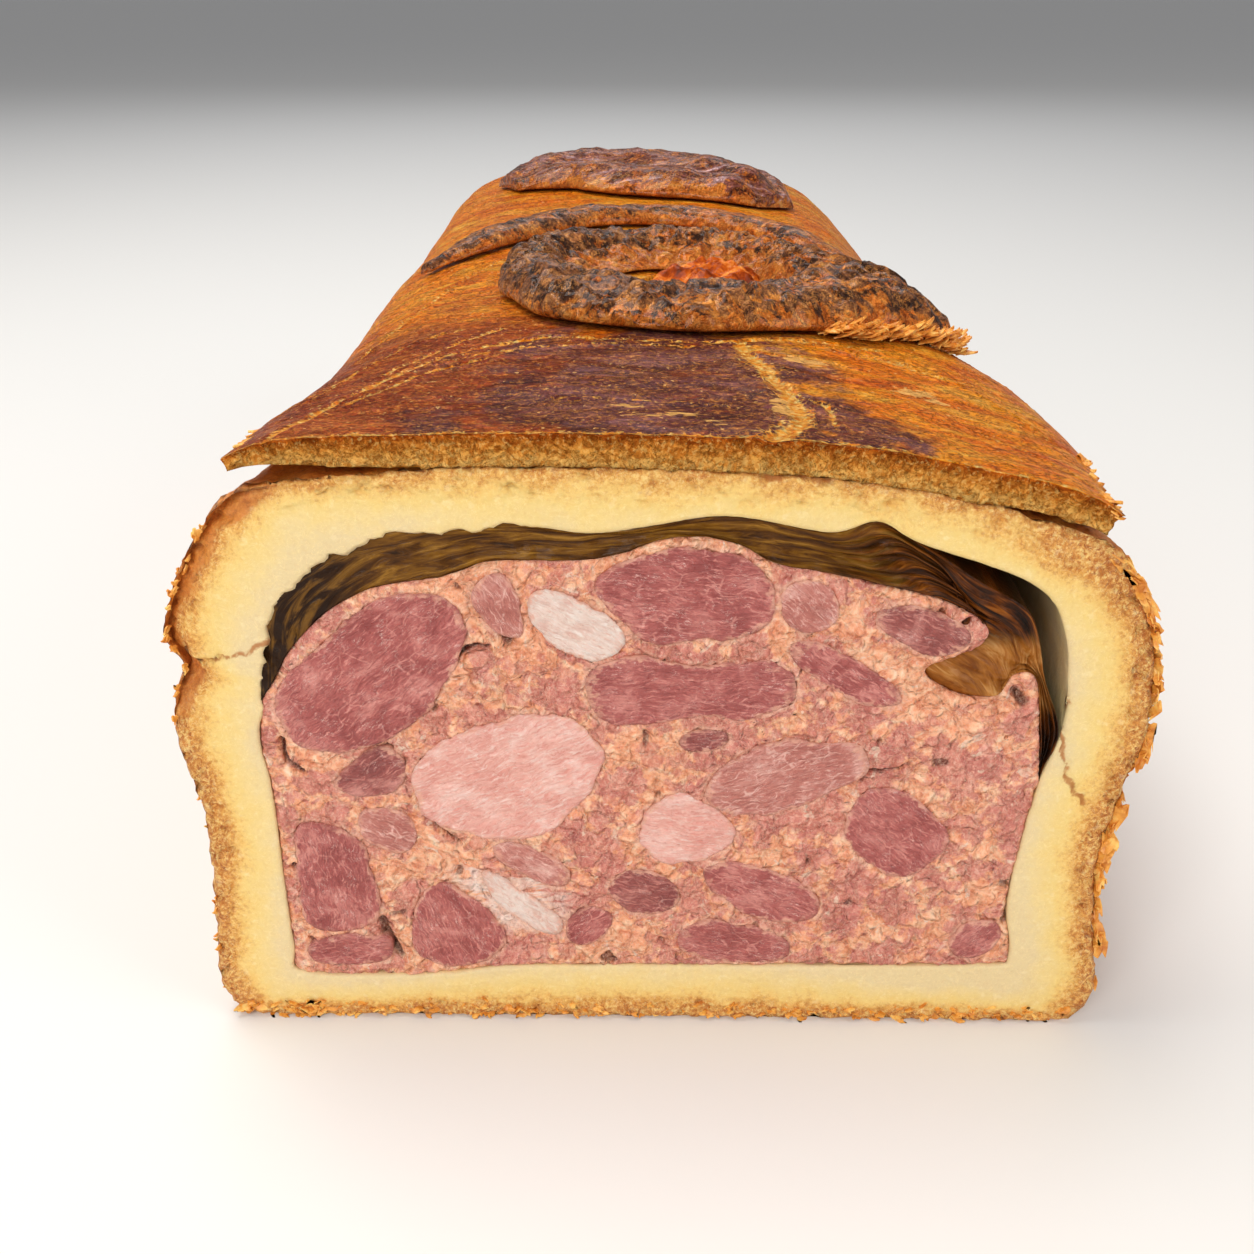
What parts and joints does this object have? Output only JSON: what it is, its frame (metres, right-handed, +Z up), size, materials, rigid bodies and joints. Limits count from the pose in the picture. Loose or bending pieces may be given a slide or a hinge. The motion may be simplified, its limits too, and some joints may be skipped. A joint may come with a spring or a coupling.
{
  "type": "pate en croute",
  "caption": "Half of a baked pate en croute, cut straight across: a pastry case and glazed lid round marbled meat forcemeat and aspic, standing on its base.",
  "frame": {"origin": "middle of the underside of its box, on the surface it stands on", "axes": "+Y along the loaf from the cut face to the closed end, +Z up, +X to the right seen from the cut"},
  "size_m": [0.1018, 0.2014, 0.078],
  "materials": {
    "pastry": "matte baked crumb, golden brown outside, pale yellow at the cut",
    "glazed_lid": "glossy egg-washed crust, mahogany to golden orange",
    "burnt_pastry": "dark browned glossy crust",
    "forcemeat": "moist coarse minced meat",
    "aspic": "glossy translucent brown jelly",
    "ham_meat": "moist cured lean meat",
    "pale_meat": "moist streaky meat",
    "dark_meat": "moist dark meat",
    "pork_loin": "moist pale meat",
    "pork_fat": "soft white fat"
  },
  "bodies": {
    "root": {"pastry_case": "pastry", "pastry_lid": "glazed_lid", "forcemeat": "forcemeat", "aspic": "aspic", "vent_collar": "burnt_pastry", "pastry_cord": "burnt_pastry", "leaf_back": "burnt_pastry", "ham_crown": "ham_meat", "ham_upper_left": "ham_meat", "fat_upper": "pork_fat", "lean_by_fat": "pale_meat", "loin_centre": "pork_loin", "dark_left": "dark_meat", "lean_left_small": "pale_meat", "ham_left_tall": "ham_meat", "ham_corner_left": "ham_meat", "ham_low_left": "ham_meat", "fat_low": "pork_fat", "lean_over_fat": "pale_meat", "lean_low_small": "ham_meat", "ham_middle": "ham_meat", "lean_middle_small": "dark_meat", "dark_low": "dark_meat", "lean_low_right": "ham_meat", "lean_bottom": "ham_meat", "loin_fibrous": "pork_loin", "ham_fibrous": "pale_meat", "ham_right": "ham_meat", "loin_upper_right": "pale_meat", "ham_upper_right": "dark_meat", "ham_slant_right": "ham_meat", "ham_corner_right": "ham_meat"}
  },
  "joints": []
}
